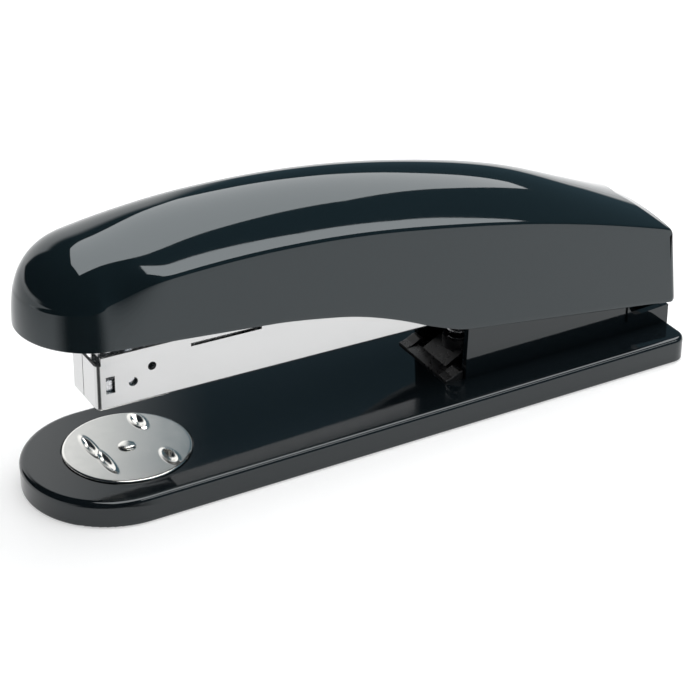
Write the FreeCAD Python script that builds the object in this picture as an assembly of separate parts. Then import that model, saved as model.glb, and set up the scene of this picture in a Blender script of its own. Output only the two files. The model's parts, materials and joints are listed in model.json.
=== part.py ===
"""Full-strip desk stapler, in millimetres.

+Z is up, the stapling end points along -Y and the hinge is at +Y.
The origin is on the desk, below the middle of the base.
"""
import FreeCAD, Part
import math
import os

Vec = FreeCAD.Vector
X_AXIS = Vec(1, 0, 0)
Z_AXIS = Vec(0, 0, 1)

# ---- base -----------------------------------------------------------------
BASE_HALF_WIDTH = 22.7
BASE_NOSE = -90.55
BASE_END = 91.0
BASE_TOP = 7.2
BASE_SKIN = 2.2                  # thickness of the moulded walls and top
BASE_RIM_LIFT = 0.25             # the tray's rim stops this far above the desk
BASE_CORNER = 4.2
PAD_THICKNESS = 1.7

# ---- pedestal that holds the hinge ------------------------------------------
PEDESTAL_HALF_WIDTH = 12.87
PEDESTAL_WALL = 2.0
PEDESTAL_FRONT = 26.0
PEDESTAL_LOW_TOP = 12.35         # height of the part behind the hinge
PEDESTAL_BOSS = 6.0

# ---- hinge --------------------------------------------------------------------
HINGE_Y = 80.0
HINGE_Z = 28.0
PIN_RADIUS = 2.0
RUNNING_GAP = 0.05

# ---- anvil --------------------------------------------------------------------
ANVIL_Y = -63.83
ANVIL_RADIUS = 16.0
ANVIL_TOP = 7.8
ANVIL_THICKNESS = 1.3
ANVIL_POST_RADIUS = 1.6
CLINCH_IN_Y = -71.5              # groove pair that bends the legs inwards
CLINCH_OUT_Y = -56.6             # groove pair that bends the legs outwards

# ---- magazine, drawn level and then tilted about the X axis ---------------------
MAG_HALF_WIDTH = 7.4
MAG_SHEET = 0.8
MAG_FRONT = -73.9
MAG_REAR = 85.0
MAG_HEIGHT = 14.2
MAG_TILT = -1.106                # degrees; the nose end is the higher one
MAG_LIFT = 22.8                  # height of the magazine's underside at Y = 0
RAIL_HALF_WIDTH = 5.75
RAIL_TOP = 6.9
RAIL_FRONT = -71.3
RAIL_REAR = 66.0
RAIL_PINS = (60.5, 64.0)          # cross pins, behind the staples' path
ROD_RADIUS = 0.95
ROD_HEIGHT = 3.7
STRIP_LENGTH = 50.0              # one hundred staples of 0.5 mm wire
STAPLE_WIRE = 0.5
STAPLE_HALF_CROWN = 6.35
PUSHER_LENGTH = 14.0
ROD_BLOCK_Y = -66.0
REAR_STOP_Y = 54.0

# ---- springs ------------------------------------------------------------------
COIL_STEPS = 12                  # wire sections in each turn
WIRE_SIDES = 6

# ---- handle -------------------------------------------------------------------
COVER_HALF_WIDTH = 16.5
COVER_WALL = 2.0
COVER_NOSE = -89.6
COVER_NOSE_START = -73.1         # the side walls turn into the round nose here
COVER_REAR = 91.0
COVER_REAR_CORNER = 1.6
PRESS_ANGLE = 5.2                # degrees from rest to a driven staple
ARM_INSIDE = 7.9
ARM_SHEET = 1.2
BLADE_THICKNESS = 0.6
BLADE_HALF_WIDTH = 6.2
BLADE_FACE = -72.75              # front face of the blade with the handle pressed
BLADE_TIP = 24.6
BLADE_TOP = 43.6
RIVET_Z = 40.6                   # rivets that hold the blade, with the handle pressed
RIVET_X = 3.5

# Cover's top from the nose to the rear: (Y, height on the centre line, height of the side crease)
COVER_LINE = [(-58.0, 71.1, 59.95), (-32.0, 71.9, 60.35), (-8.0, 70.1, 58.7), (18.0, 65.5, 54.75),
              (46.0, 57.7, 48.7), (67.0, 48.8, 43.1), (80.0, 43.0, 39.2), (91.5, 37.8, 35.7)]
# Round nose, turned about its own upright axis: (radius, height) of the curve's control points
NOSE_CROWN = [(0.0, 68.7), (8.5, 68.7), (13.4, 62.9), (15.1, 57.4)]
NOSE_WALL = [(15.1, 57.4), (16.5, 52.36), (16.8, 44.0)]
# Lower edge of the cover: a straight front run, an arch and a straight rear run
RIM_FRONT = [(-92.0, 46.9), (-30.0, 40.72)]
RIM_ARCH = [(-30.0, 40.72), (-18.6, 38.9), (-8.0, 36.6), (3.9, 32.4), (14.0, 27.9), (22.0, 24.9), (32.0, 23.2)]
RIM_REAR = [(32.0, 23.2), (92.0, 14.7)]


def box(x0, x1, y0, y1, z0, z1):
    return Part.makeBox(x1 - x0, y1 - y0, z1 - z0, Vec(x0, y0, z0))


def both_sides(shape):
    return shape.fuse(shape.mirror(Vec(0, 0, 0), X_AXIS))


def rod(start, end, radius):
    """Cylinder from one point to another."""
    way = end.sub(start)
    return Part.makeCylinder(radius, way.Length, start, way)


def fuse_all(shapes):
    body = shapes[0].fuse(shapes[1:]) if len(shapes) > 1 else shapes[0]
    return body.removeSplitter()


def side_plate(points, x0, x1):
    """Plate with a polygon outline of (y, z) points, between two X planes."""
    corners = [Vec(x0, y, z) for y, z in points]
    face = Part.Face(Part.makePolygon(corners + corners[:1]))
    return face.extrude(Vec(x1 - x0, 0, 0))


def edges_near_height(shape, height, tolerance=0.05):
    return [e for e in shape.Edges
            if abs(e.BoundBox.ZMin - height) < tolerance and abs(e.BoundBox.ZMax - height) < tolerance]


def place_magazine(shape):
    """Takes a piece from the level magazine drawing to its place on the stapler."""
    placed = shape.copy()
    placed.rotate(Vec(0, 0, 0), X_AXIS, MAG_TILT)
    placed.translate(Vec(0, 0, MAG_LIFT))
    return placed


def hinge_in_magazine():
    """The hinge axis in the level magazine drawing."""
    point = Vec(0, HINGE_Y, HINGE_Z - MAG_LIFT)
    turn = FreeCAD.Rotation(X_AXIS, -MAG_TILT)
    return turn.multVec(point)


def place_driver(shape):
    """Turns a piece drawn with the handle pressed back to the handle's rest."""
    placed = shape.copy()
    placed.rotate(Vec(0, HINGE_Y, HINGE_Z), X_AXIS, -PRESS_ANGLE)
    return placed


def coil(radius, wire, height, turns):
    """Helical spring standing on Z = 0, lofted through wire sections set along the helix."""
    rise = height - wire
    slope = math.atan2(rise, 2 * math.pi * radius * turns)
    sections = []
    for step in range(round(turns * COIL_STEPS) + 1):
        angle = 2 * math.pi * step / COIL_STEPS
        outward = Vec(math.cos(angle), math.sin(angle), 0)
        onward = Vec(-math.sin(angle) * math.cos(slope), math.cos(angle) * math.cos(slope), math.sin(slope))
        across = onward.cross(outward)
        centre = outward * radius + Vec(0, 0, wire / 2 + rise * step / COIL_STEPS / turns)
        corners = []
        for side in range(WIRE_SIDES):
            turn = 2 * math.pi * side / WIRE_SIDES
            corners.append(centre + (outward * math.cos(turn) + across * math.sin(turn)) * (wire / 2))
        sections.append(Part.makePolygon(corners + corners[:1]))
    return Part.makeLoft(sections, True, True)


# ---- base -----------------------------------------------------------------------
def base_outline(inset, z0, z1):
    """Round-nosed plan of the base as a solid between two heights."""
    half = BASE_HALF_WIDTH - inset
    nose_y = BASE_NOSE + BASE_HALF_WIDTH
    corner = max(BASE_CORNER - inset, 0.8)
    rear = BASE_END - inset
    bend = corner * (1 - math.sqrt(0.5))
    edges = [
        Part.Arc(Vec(half, nose_y, z0), Vec(0, nose_y - half, z0), Vec(-half, nose_y, z0)).toShape(),
        Part.LineSegment(Vec(-half, nose_y, z0), Vec(-half, rear - corner, z0)).toShape(),
        Part.Arc(Vec(-half, rear - corner, z0), Vec(-half + bend, rear - bend, z0),
                 Vec(-half + corner, rear, z0)).toShape(),
        Part.LineSegment(Vec(-half + corner, rear, z0), Vec(half - corner, rear, z0)).toShape(),
        Part.Arc(Vec(half - corner, rear, z0), Vec(half - bend, rear - bend, z0),
                 Vec(half, rear - corner, z0)).toShape(),
        Part.LineSegment(Vec(half, rear - corner, z0), Vec(half, nose_y, z0)).toShape(),
    ]
    return Part.Face(Part.Wire(edges)).extrude(Vec(0, 0, z1 - z0))


def pedestal_wall():
    """One side wall of the pedestal: tall in front of the hinge, low behind it."""
    outer = PEDESTAL_HALF_WIDTH
    inner = outer - PEDESTAL_WALL
    wall = side_plate([(PEDESTAL_FRONT, BASE_TOP - 1), (PEDESTAL_FRONT + 0.9, 27.5), (34.0, 25.5), (70.0, 20.5),
                       (HINGE_Y - PEDESTAL_BOSS + 0.6, HINGE_Z), (HINGE_Y + 4, HINGE_Z - 2),
                       (HINGE_Y + 3, HINGE_Z - 8), (77.6, 14.5), (79.5, PEDESTAL_LOW_TOP - 0.5),
                       (BASE_END - 0.1, PEDESTAL_LOW_TOP), (BASE_END - 0.1, BASE_TOP - 1)], inner, outer)
    boss = Part.makeCylinder(PEDESTAL_BOSS, PEDESTAL_WALL, Vec(inner, HINGE_Y, HINGE_Z), X_AXIS)
    groove = box(outer - 0.6, outer + 1, HINGE_Y - 3.5, HINGE_Y - 2.7, BASE_TOP + 3.4, HINGE_Z - 8)
    return wall.fuse(boss).cut(groove)


def make_base_shell():
    outer = base_outline(0, BASE_RIM_LIFT, BASE_TOP)
    outer = outer.makeFillet(1.4, edges_near_height(outer, BASE_TOP))
    outer = outer.makeFillet(0.5, edges_near_height(outer, BASE_RIM_LIFT))
    hollow = base_outline(BASE_SKIN, BASE_RIM_LIFT - 1, BASE_TOP - BASE_SKIN)
    tray = outer.cut(hollow)

    rib_low = PAD_THICKNESS + 0.3
    rib_high = BASE_TOP - BASE_SKIN + 0.1
    ribs = [box(x - 0.6, x + 0.6, -40, BASE_END - BASE_SKIN, rib_low, rib_high) for x in (-11, 11)]
    cross_ribs = [box(-BASE_HALF_WIDTH + 1, BASE_HALF_WIDTH - 1, y - 0.6, y + 0.6, rib_low, rib_high)
                  for y in range(-40, 80, 24)]
    wall = pedestal_wall()
    rear_wall = box(-PEDESTAL_HALF_WIDTH, PEDESTAL_HALF_WIDTH, BASE_END - 2.3, BASE_END - 0.1,
                    BASE_TOP - 1, PEDESTAL_LOW_TOP)
    body = fuse_all([tray] + ribs + cross_ribs + [both_sides(wall), rear_wall])

    plate_seat = Part.makeCylinder(ANVIL_RADIUS + 0.35, 5, Vec(0, ANVIL_Y, ANVIL_TOP - ANVIL_THICKNESS - 0.05))
    post_hole = Part.makeCylinder(ANVIL_POST_RADIUS + 0.9 + RUNNING_GAP, 10, Vec(0, ANVIL_Y, 0))
    pin_hole = Part.makeCylinder(PIN_RADIUS + RUNNING_GAP, 40, Vec(-20, HINGE_Y, HINGE_Z), X_AXIS)
    cuts = [plate_seat, post_hole, pin_hole]
    for y in BRACKET_SCREWS:
        cuts.append(Part.makeCylinder(1.35, 10, Vec(0, y, 0)))
    body = body.cut(cuts)
    return body


def make_base_pad():
    """Non-slip rubber mat in the underside, with a finger hole below the anvil."""
    mat = base_outline(BASE_SKIN + 0.3, 0, PAD_THICKNESS)
    mat = mat.makeFillet(0.5, edges_near_height(mat, 0))
    cuts = [Part.makeCylinder(8.5, 5, Vec(0, ANVIL_Y, -1))]
    for y in BRACKET_SCREWS:
        cuts.append(Part.makeCylinder(3.2, 5, Vec(0, y, -1)))
    for row in range(12):
        y = -36 + row * 9.5
        cuts.append(box(-15, 15, y, y + 1.0, -0.1, 0.5))
    return mat.cut(cuts)


# ---- spring bracket in the pedestal's mouth ---------------------------------------
BRACKET_SCREWS = (37.5, 50.0)
LIFT_SPRING_Y = 32.6
LIFT_SPRING_SEAT = 11.0
LIFT_CUP_RADIUS = 4.9
LIFT_CUP_TOP = 13.4              # the cup hides the spring's lower turns


def make_spring_bracket():
    """Black moulded seat of the lifting spring: a low apron, a ramp, a cup and two wedge-shaped toes."""
    floor = BASE_TOP + 0.02
    apron = side_plate([(20.8, floor), (20.8, 7.7), (24.4, 8.2), (30.0, 8.2), (30.0, floor)], -8.2, 8.2)
    ramp = side_plate([(24.4, floor), (24.4, 8.2), (29.6, LIFT_SPRING_SEAT), (38.0, LIFT_SPRING_SEAT),
                       (38.0, 8.8), (54.0, 8.8), (54.0, floor)], -5.7, 5.7)
    toe = side_plate([(20.8, floor), (20.8, 7.8), (22.9, 8.4), (24.9, 9.5), (25.9, 9.5), (25.9, floor)], 8.0, 11.9)
    toe = toe.makeFillet(0.3, [e for e in toe.Edges if e.BoundBox.XMin > 11.8 and e.BoundBox.ZMin > floor + 0.1])
    cup = Part.makeCylinder(LIFT_CUP_RADIUS, LIFT_CUP_TOP - LIFT_SPRING_SEAT + 1,
                            Vec(0, LIFT_SPRING_Y, LIFT_SPRING_SEAT - 1))
    cup = cup.cut(Part.makeCylinder(LIFT_CUP_RADIUS - 0.8, 5, Vec(0, LIFT_SPRING_Y, LIFT_SPRING_SEAT)))
    boss = Part.makeCylinder(2.4, 1.6, Vec(0, LIFT_SPRING_Y, LIFT_SPRING_SEAT))
    body = fuse_all([apron, ramp, both_sides(toe), cup, boss])
    return body.cut([Part.makeCylinder(1.05, 3.4, Vec(0, y, BASE_TOP - 1)) for y in BRACKET_SCREWS])


def make_bracket_screws():
    """Two pan-head screws that come up through the base into the bracket."""
    screws = []
    head_base = BASE_TOP - BASE_SKIN - 1.4
    for y in BRACKET_SCREWS:
        head = Part.makeCylinder(2.4, 1.35, Vec(0, y, head_base))
        shank = Part.makeCylinder(1.0, 4.4, Vec(0, y, head_base + 1.3))
        slot = box(-2.5, 2.5, y - 0.3, y + 0.3, head_base - 0.1, head_base + 0.6)
        screws.append(head.fuse(shank).cut(slot))
    return Part.makeCompound(screws)


def make_lift_spring():
    top = MAG_LIFT + math.tan(math.radians(MAG_TILT)) * LIFT_SPRING_Y
    spring = coil(3.4, 0.8, top - LIFT_SPRING_SEAT - 0.25, 4.5)
    spring.translate(Vec(0, LIFT_SPRING_Y, LIFT_SPRING_SEAT + 0.05))
    return spring


STOP_Y = 68.0


def make_magazine_stop():
    """Steel T hook that holds the magazine down against the lifting spring."""
    under = MAG_LIFT + math.tan(math.radians(MAG_TILT)) * STOP_Y
    foot = box(-5, 5, STOP_Y - 7, STOP_Y + 5, BASE_TOP + 0.02, BASE_TOP + 1.2)
    stem = box(-2.6, 2.6, STOP_Y - 0.6, STOP_Y + 0.6, BASE_TOP + 1, under + MAG_SHEET + 0.8)
    head = box(-4.2, 4.2, STOP_Y - 0.6, STOP_Y + 0.6, under + MAG_SHEET + 0.12, under + MAG_SHEET + 1.6)
    return fuse_all([foot, stem, head])


# ---- hinge hardware ---------------------------------------------------------------
def make_hinge_pin():
    reach = PEDESTAL_HALF_WIDTH + 0.1
    shaft = rod(Vec(-reach - 0.9, HINGE_Y, HINGE_Z), Vec(reach, HINGE_Y, HINGE_Z), PIN_RADIUS)
    head = rod(Vec(reach, HINGE_Y, HINGE_Z), Vec(reach + 1.0, HINGE_Y, HINGE_Z), 3.2)
    head = head.makeFillet(0.5, [e for e in head.Edges if abs(e.BoundBox.XMin - reach - 1.0) < 0.01
                                 and e.BoundBox.XLength < 0.01])
    groove_outer = rod(Vec(-reach - 0.55, HINGE_Y, HINGE_Z), Vec(-reach - 0.05, HINGE_Y, HINGE_Z), PIN_RADIUS + 1)
    groove_core = rod(Vec(-reach - 0.55, HINGE_Y, HINGE_Z), Vec(-reach - 0.05, HINGE_Y, HINGE_Z), PIN_RADIUS - 0.5)
    return shaft.fuse(head).removeSplitter().cut(groove_outer.cut(groove_core))


def make_pin_clip():
    """Spring-steel retaining clip, open at the bottom, in the pin's groove."""
    x = -PEDESTAL_HALF_WIDTH - 0.6
    ring = rod(Vec(x, HINGE_Y, HINGE_Z), Vec(x + 0.4, HINGE_Y, HINGE_Z), 3.4)
    bore = rod(Vec(x - 1, HINGE_Y, HINGE_Z), Vec(x + 2, HINGE_Y, HINGE_Z), PIN_RADIUS - 0.45)
    mouth = box(x - 1, x + 2, HINGE_Y - 1.2, HINGE_Y + 1.2, HINGE_Z - 5, HINGE_Z)
    return ring.cut(bore).cut(mouth)


def make_hinge_spacers():
    """Two nylon rings that keep the handle's arms off the pedestal."""
    x0 = ARM_INSIDE + ARM_SHEET + 0.1
    x1 = PEDESTAL_HALF_WIDTH - PEDESTAL_WALL - 0.1
    rings = []
    for side in (-1, 1):
        ring = rod(Vec(side * x0, HINGE_Y, HINGE_Z), Vec(side * x1, HINGE_Y, HINGE_Z), 4.2)
        bore = rod(Vec(side * (x0 - 1), HINGE_Y, HINGE_Z), Vec(side * (x1 + 1), HINGE_Y, HINGE_Z),
                   PIN_RADIUS + RUNNING_GAP)
        rings.append(ring.cut(bore))
    return Part.makeCompound(rings)


# ---- anvil -------------------------------------------------------------------------
def oval_groove(x, y, length, width, depth):
    """Boat-shaped dimple pressed into the anvil, lying along X."""
    radius = (length * length / 4 + depth * depth) / (2 * depth)
    hollow = Part.makeCylinder(radius, width, Vec(x, y - width / 2, ANVIL_TOP - depth + radius), Vec(0, 1, 0))
    limit = box(x - length / 2, x + length / 2, y - width / 2, y + width / 2, ANVIL_TOP - 2, ANVIL_TOP + 2)
    return hollow.common(limit)


def make_anvil_plate():
    plate = Part.makeCylinder(ANVIL_RADIUS, ANVIL_THICKNESS, Vec(0, ANVIL_Y, ANVIL_TOP - ANVIL_THICKNESS))
    plate = plate.makeFillet(0.4, edges_near_height(plate, ANVIL_TOP))
    cuts = [Part.makeCylinder(ANVIL_POST_RADIUS + RUNNING_GAP, 5, Vec(0, ANVIL_Y, ANVIL_TOP - 3))]
    for side in (-1, 1):
        cuts.append(oval_groove(side * 4.3, CLINCH_IN_Y + side * 0.35, 7.4, 1.8, 0.75))
        cuts.append(oval_groove(side * 9.3, CLINCH_OUT_Y, 6.6, 2.0, 0.75))
    return plate.cut(cuts)


def make_anvil_post():
    """Shouldered rivet: the plate turns on it, and it slides in the base."""
    head = Part.makeSphere(4.2, Vec(0, ANVIL_Y, ANVIL_TOP + 0.7 - 4.2))
    head = head.common(Part.makeCylinder(2.3, 3, Vec(0, ANVIL_Y, ANVIL_TOP + 0.04)))
    neck = Part.makeCylinder(ANVIL_POST_RADIUS, ANVIL_THICKNESS + 0.2, Vec(0, ANVIL_Y, ANVIL_TOP - ANVIL_THICKNESS - 0.1))
    shoulder = Part.makeCylinder(ANVIL_POST_RADIUS + 0.9, 4.55, Vec(0, ANVIL_Y, ANVIL_TOP - ANVIL_THICKNESS - 4.6))
    return fuse_all([head, neck, shoulder])


def make_anvil_button():
    """Push button below the base, pressed upwards to free the plate."""
    foot = ANVIL_TOP - ANVIL_THICKNESS - 4.6
    button = Part.makeCylinder(7.0, 1.0, Vec(0, ANVIL_Y, foot - 1.0))
    button = button.makeFillet(0.4, edges_near_height(button, foot - 1.0))
    rings = [Part.makeTorus(r, 0.3, Vec(0, ANVIL_Y, foot - 1.0)) for r in (3.0, 4.5)]
    return button.cut(rings)


def make_anvil_spring():
    foot = ANVIL_TOP - ANVIL_THICKNESS - 4.5
    spring = coil(4.4, 0.6, BASE_TOP - BASE_SKIN - foot - 0.1, 2.0)
    spring.translate(Vec(0, ANVIL_Y, foot + 0.05))
    return spring


# ---- magazine (level drawing: the underside is Z = 0) --------------------------------
def make_magazine_channel():
    """Folded sheet channel with two front flanges that meet at a seam."""
    hinge = hinge_in_magazine()
    outer = box(-MAG_HALF_WIDTH, MAG_HALF_WIDTH, MAG_FRONT, MAG_REAR, 0, MAG_HEIGHT)
    folds = [e for e in outer.Edges if e.BoundBox.ZLength > 5 and e.BoundBox.YMax < MAG_FRONT + 0.1]
    outer = outer.makeFillet(1.2, folds)
    long_folds = [e for e in edges_near_height(outer, 0) if e.BoundBox.YLength > 50]
    outer = outer.makeFillet(0.7, long_folds)
    inside = MAG_HALF_WIDTH - MAG_SHEET
    core = box(-inside, inside, MAG_FRONT + MAG_SHEET, MAG_REAR + 1, MAG_SHEET, MAG_HEIGHT + 1)
    throat = box(-inside, inside, MAG_FRONT + MAG_SHEET, -50, -1, MAG_SHEET + 1)
    rear_round = box(-10, 10, hinge.y - 4, MAG_REAR + 1, -1, 20)
    rear_round = rear_round.cut(Part.makeCylinder(6.4, 20, Vec(-10, hinge.y, hinge.z), X_AXIS))
    seam = box(-0.65, -0.35, MAG_FRONT - 1, MAG_FRONT + MAG_SHEET + 0.1, -1, 20)
    flange_trim = box(-MAG_HALF_WIDTH + 1.3, MAG_HALF_WIDTH - 1.3, MAG_FRONT - 1, MAG_FRONT + MAG_SHEET + 0.1, -1, 0.5)
    flange_top = box(-10, 10, MAG_FRONT - 1, MAG_FRONT + 1.4, 12.2, 20)
    window = box(-10, 10, -71.4, -69.1, 4.3, 8.8)
    slot = box(-10, 10, -49.1, -30, 11.6, 12.5)
    cuts = [core, throat, rear_round, seam, flange_trim, flange_top, window, slot]
    cuts.append(Part.makeCylinder(1.2, 20, Vec(-10, -64.4, 6.0), X_AXIS))
    cuts.append(Part.makeCylinder(1.1, 20, Vec(-10, -59.4, 9.0), X_AXIS))
    cuts.append(Part.makeCylinder(PIN_RADIUS + RUNNING_GAP, 20, Vec(-10, hinge.y, hinge.z), X_AXIS))
    cuts += rail_pin_holes()
    cuts.append(box(-3.2, 3.2, STOP_Y - 2.2, STOP_Y + 2.2, -1, 2))
    return outer.cut(cuts)


def make_staple_rail():
    """Inverted channel that the staples straddle, with lips below the nose."""
    half = RAIL_HALF_WIDTH
    sheet = 0.75
    outer = box(-half, half, RAIL_FRONT, RAIL_REAR, MAG_SHEET + 0.1, RAIL_TOP)
    core = box(-half + sheet, half - sheet, RAIL_FRONT - 1, RAIL_REAR + 1, 0, RAIL_TOP - sheet)
    tongue_slot = box(-1.3, 1.3, -55, 58, RAIL_TOP - 2, RAIL_TOP + 1)
    lip = side_plate([(RAIL_FRONT, MAG_SHEET + 0.2), (RAIL_FRONT, -0.8), (-60, -0.75), (-51, 0.2),
                      (-51, MAG_SHEET + 0.2)], half - sheet, half)
    body = outer.cut([core, tongue_slot])
    body = body.fuse(both_sides(lip)).removeSplitter()
    return body.cut(rail_pin_holes())


def rail_pin_holes():
    return [Part.makeCylinder(0.75, 20, Vec(-10, y, ROD_HEIGHT), X_AXIS) for y in RAIL_PINS]


def make_rail_pins():
    """Two cross pins that hold the rail's rear end in the channel."""
    return Part.makeCompound([rod(Vec(-MAG_HALF_WIDTH, y, ROD_HEIGHT), Vec(MAG_HALF_WIDTH, y, ROD_HEIGHT), 0.7)
                              for y in RAIL_PINS])


def make_staple_strip():
    crown = RAIL_TOP + 0.05 + STAPLE_WIRE
    outer = box(-STAPLE_HALF_CROWN, STAPLE_HALF_CROWN, RAIL_FRONT, RAIL_FRONT + STRIP_LENGTH, 1.2, crown)
    bends = [e for e in edges_near_height(outer, crown) if e.BoundBox.YLength > 10]
    outer = outer.makeFillet(0.4, bends)
    inner = STAPLE_HALF_CROWN - STAPLE_WIRE
    core = box(-inner, inner, RAIL_FRONT - 1, RAIL_FRONT + STRIP_LENGTH + 1, 0, crown - STAPLE_WIRE)
    return outer.cut(core)


def rod_block(y):
    block = box(-4.9, 4.9, y, y + 3.0, 1.0, RAIL_TOP - 0.85)
    return block.cut(Part.makeCylinder(ROD_RADIUS + 0.04, 5, Vec(0, y - 1, ROD_HEIGHT), Vec(0, 1, 0)))


def make_guide_rod():
    shaft = rod(Vec(0, ROD_BLOCK_Y - 1.2, ROD_HEIGHT), Vec(0, REAR_STOP_Y + 3.8, ROD_HEIGHT), ROD_RADIUS)
    head = rod(Vec(0, ROD_BLOCK_Y - 1.3, ROD_HEIGHT), Vec(0, ROD_BLOCK_Y - 0.1, ROD_HEIGHT), 1.7)
    return shaft.fuse(head).removeSplitter()


def pusher_start():
    return RAIL_FRONT + STRIP_LENGTH + 0.15


def make_pusher():
    """Follower that straddles the rail; its tongue reaches the rod through the rail's slot."""
    y0 = pusher_start()
    y1 = y0 + PUSHER_LENGTH
    saddle = box(-6.3, 6.3, y0, y1, 1.6, 9.4)
    saddle = saddle.makeFillet(0.6, [e for e in edges_near_height(saddle, 9.4) if e.BoundBox.YLength > 5])
    saddle = saddle.cut(box(-RAIL_HALF_WIDTH - 0.08, RAIL_HALF_WIDTH + 0.08, y0 - 1, y1 + 1, 0, RAIL_TOP + 0.08))
    tab = side_plate([(y1 - 5, 9.0), (y1 - 3.4, 12.4), (y1 - 1.6, 12.4), (y1, 9.0)], -4, 4)
    tongue = box(-0.9, 0.9, y1 - 3, y1 - 0.5, 1.7, RAIL_TOP + 1)
    eye = Part.makeCylinder(1.9, 2.5, Vec(0, y1 - 3, ROD_HEIGHT), Vec(0, 1, 0))
    hole = Part.makeCylinder(ROD_RADIUS + RUNNING_GAP, 30, Vec(0, y0 - 5, ROD_HEIGHT), Vec(0, 1, 0))
    return fuse_all([saddle, tab, tongue, eye]).cut(hole)


def make_pusher_spring():
    start = pusher_start() + PUSHER_LENGTH - 0.4
    length = REAR_STOP_Y - start - 0.1
    spring = coil(1.75, 0.5, length, 17)
    spring.rotate(Vec(0, 0, 0), X_AXIS, -90)
    spring.translate(Vec(0, start, ROD_HEIGHT))
    return spring


def make_return_spring():
    """Torsion spring round the hinge pin: one leg on the magazine's floor, one under the handle."""
    hinge = hinge_in_magazine()
    wire = 0.8
    radius = 3.3
    winding = coil(radius, wire, 5.6, 4.5)
    winding.rotate(Vec(0, 0, 0), Vec(0, 1, 0), 90)
    winding.translate(Vec(-2.8, hinge.y, hinge.z))
    lower = rod(Vec(-2.4, hinge.y, hinge.z - radius), Vec(-2.4, hinge.y - 9, 1.5), wire / 2)
    upper = rod(Vec(2.4, hinge.y, hinge.z + radius), Vec(2.4, hinge.y - 24, 13.6), wire / 2)
    return fuse_all([winding, lower, upper])


# ---- handle ------------------------------------------------------------------------
def cover_plan(inset, z0, z1):
    half = COVER_HALF_WIDTH - inset
    nose = COVER_NOSE + inset
    rear = COVER_REAR - inset
    corner = COVER_REAR_CORNER - inset / 4
    bend = corner * (1 - math.sqrt(0.5))
    edges = [
        Part.Arc(Vec(half, COVER_NOSE_START, z0), Vec(0, nose, z0), Vec(-half, COVER_NOSE_START, z0)).toShape(),
        Part.LineSegment(Vec(-half, COVER_NOSE_START, z0), Vec(-half, rear - corner, z0)).toShape(),
        Part.Arc(Vec(-half, rear - corner, z0), Vec(-half + bend, rear - bend, z0),
                 Vec(-half + corner, rear, z0)).toShape(),
        Part.LineSegment(Vec(-half + corner, rear, z0), Vec(half - corner, rear, z0)).toShape(),
        Part.Arc(Vec(half - corner, rear, z0), Vec(half - bend, rear - bend, z0),
                 Vec(half, rear - corner, z0)).toShape(),
        Part.LineSegment(Vec(half, rear - corner, z0), Vec(half, COVER_NOSE_START, z0)).toShape(),
    ]
    return Part.Face(Part.Wire(edges)).extrude(Vec(0, 0, z1 - z0))


def curve(side, y, points):
    """Bezier edge through control points (radius, height), on the right (1) or left (-1) side."""
    bezier = Part.BezierCurve()
    bezier.setPoles([Vec(side * r, y, z) for r, z in points])
    return bezier.toShape()


def crown_section(y, top, wall):
    """Closed cross-section at Y: arched top, two side walls and a flat bottom at the desk."""
    half, low = wall[-1]
    feet = [Vec(half, y, 0), Vec(-half, y, 0)]
    edges = [
        curve(1, y, top),
        curve(1, y, wall),
        Part.LineSegment(Vec(half, y, low), feet[0]).toShape(),
        Part.LineSegment(feet[0], feet[1]).toShape(),
        Part.LineSegment(feet[1], Vec(-half, y, low)).toShape(),
        curve(-1, y, wall),
        curve(-1, y, top),
    ]
    return Part.Wire(edges)


def cover_crown():
    """Everything below the cover's arched top: a loft along the body, and a turned nose."""
    half = COVER_HALF_WIDTH + 0.3
    nose_y = COVER_NOSE_START
    sections = [crown_section(nose_y, NOSE_CROWN, NOSE_WALL)]
    for y, ridge, crease in COVER_LINE:
        drop = (ridge - crease) * (half / COVER_HALF_WIDTH) ** 2
        top = [(0, ridge), (half / 3, ridge), (half * 2 / 3, ridge - drop / 3), (half, ridge - drop)]
        wall = [(half, ridge - drop), (half, ridge - drop - 6), (half, ridge - drop - 14)]
        sections.append(crown_section(y, top, wall))
    body = Part.makeLoft(sections, True, False)

    foot = Vec(half, nose_y, 0)
    axis_foot = Vec(0, nose_y, 0)
    crest = Vec(0, nose_y, NOSE_CROWN[0][1])
    edges = [
        curve(1, nose_y, NOSE_CROWN),
        curve(1, nose_y, NOSE_WALL),
        Part.LineSegment(Vec(half, nose_y, NOSE_WALL[-1][1]), foot).toShape(),
        Part.LineSegment(foot, axis_foot).toShape(),
        Part.LineSegment(axis_foot, crest).toShape(),
    ]
    nose = Part.Face(Part.Wire(edges)).revolve(axis_foot, Z_AXIS, -180)
    return body.fuse(nose)


def below_rim():
    """Region under the cover's lower edge."""
    arch = Part.BSplineCurve()
    arch.interpolate(Points=[Vec(-30, y, z) for y, z in RIM_ARCH],
                     InitialTangent=Vec(0, 1, -0.0997), FinalTangent=Vec(0, 1, -0.1417))
    front = [Vec(-30, y, z) for y, z in RIM_FRONT]
    rear = [Vec(-30, y, z) for y, z in RIM_REAR]
    low = [Vec(-30, rear[1].y, -5), Vec(-30, front[0].y, -5)]
    round_start = rear[0] + (rear[1] - rear[0]) * 0.952
    round_end = Vec(-30, COVER_REAR + 0.1, round_start.z + 1.7)
    round_mid = Vec(-30, COVER_REAR - 0.5, round_start.z + 0.35)
    edges = [Part.LineSegment(front[0], front[1]).toShape(), arch.toShape(),
             Part.LineSegment(rear[0], round_start).toShape(),
             Part.Arc(round_start, round_mid, round_end).toShape(),
             Part.LineSegment(round_end, rear[1]).toShape(), Part.LineSegment(rear[1], low[0]).toShape(),
             Part.LineSegment(low[0], low[1]).toShape(), Part.LineSegment(low[1], front[0]).toShape()]
    return Part.Face(Part.Wire(edges)).extrude(Vec(60, 0, 0))


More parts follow.
